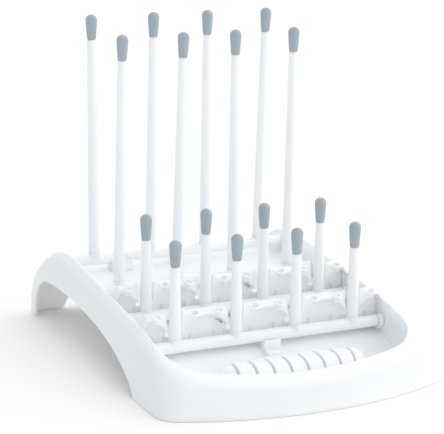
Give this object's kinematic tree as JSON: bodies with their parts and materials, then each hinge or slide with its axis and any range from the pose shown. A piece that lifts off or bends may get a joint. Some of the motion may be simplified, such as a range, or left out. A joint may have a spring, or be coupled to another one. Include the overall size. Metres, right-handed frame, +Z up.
{
  "type": "bottle drying rack",
  "caption": "Folding drying rack for baby bottles: a four-footed frame with a drip deck, and rows of long and short soft-tipped pegs on cross bars that fold forward.",
  "frame": {"origin": "centre of the footprint, on the ground", "axes": "+Z up, -Y towards the low front with the basin, +X to the right seen from the front, along the cross bars"},
  "size_m": [0.2548, 0.3362, 0.2742],
  "materials": {
    "white_plastic": "satin moulded plastic",
    "grey_soft_plastic": "matte soft plastic"
  },
  "bodies": {
    "frame": {"base_frame": "white_plastic", "drip_deck": "white_plastic"},
    "row_1": {"bar_1": "white_plastic", "long_peg_1_1": "white_plastic", "long_peg_1_2": "white_plastic", "long_peg_1_3": "white_plastic", "long_peg_1_4": "white_plastic", "soft_tip_1_1": "grey_soft_plastic", "soft_tip_1_2": "grey_soft_plastic", "soft_tip_1_3": "grey_soft_plastic", "soft_tip_1_4": "grey_soft_plastic"},
    "row_2": {"bar_2": "white_plastic", "long_peg_2_1": "white_plastic", "long_peg_2_2": "white_plastic", "long_peg_2_3": "white_plastic", "long_peg_2_4": "white_plastic", "soft_tip_2_1": "grey_soft_plastic", "soft_tip_2_2": "grey_soft_plastic", "soft_tip_2_3": "grey_soft_plastic", "soft_tip_2_4": "grey_soft_plastic"},
    "row_3": {"bar_3": "white_plastic", "short_peg_3_1": "white_plastic", "short_peg_3_2": "white_plastic", "short_peg_3_3": "white_plastic", "short_peg_3_4": "white_plastic", "soft_tip_3_1": "grey_soft_plastic", "soft_tip_3_2": "grey_soft_plastic", "soft_tip_3_3": "grey_soft_plastic", "soft_tip_3_4": "grey_soft_plastic"},
    "row_4": {"bar_4": "white_plastic", "short_peg_4_1": "white_plastic", "short_peg_4_2": "white_plastic", "short_peg_4_3": "white_plastic", "short_peg_4_4": "white_plastic", "soft_tip_4_1": "grey_soft_plastic", "soft_tip_4_2": "grey_soft_plastic", "soft_tip_4_3": "grey_soft_plastic", "soft_tip_4_4": "grey_soft_plastic"}
  },
  "joints": [
    {"name": "fold_1", "type": "hinge", "parent": "frame", "child": "row_1", "pos_m": [0, 0.12, 0.0559], "axis": [1, 0, 0], "range_deg": [0, 84]},
    {"name": "fold_2", "type": "hinge", "parent": "frame", "child": "row_2", "pos_m": [0, 0.06, 0.0456], "axis": [1, 0, 0], "range_deg": [0, 84]},
    {"name": "fold_3", "type": "hinge", "parent": "frame", "child": "row_3", "pos_m": [0, 0, 0.0366], "axis": [1, 0, 0], "range_deg": [0, 84]},
    {"name": "fold_4", "type": "hinge", "parent": "frame", "child": "row_4", "pos_m": [0, -0.06, 0.029], "axis": [1, 0, 0], "range_deg": [0, 84]}
  ],
  "couplings": [
    {"joint": "fold_2", "follows": "fold_1", "ratio": 1},
    {"joint": "fold_3", "follows": "fold_1", "ratio": 1},
    {"joint": "fold_4", "follows": "fold_1", "ratio": 1}
  ]
}
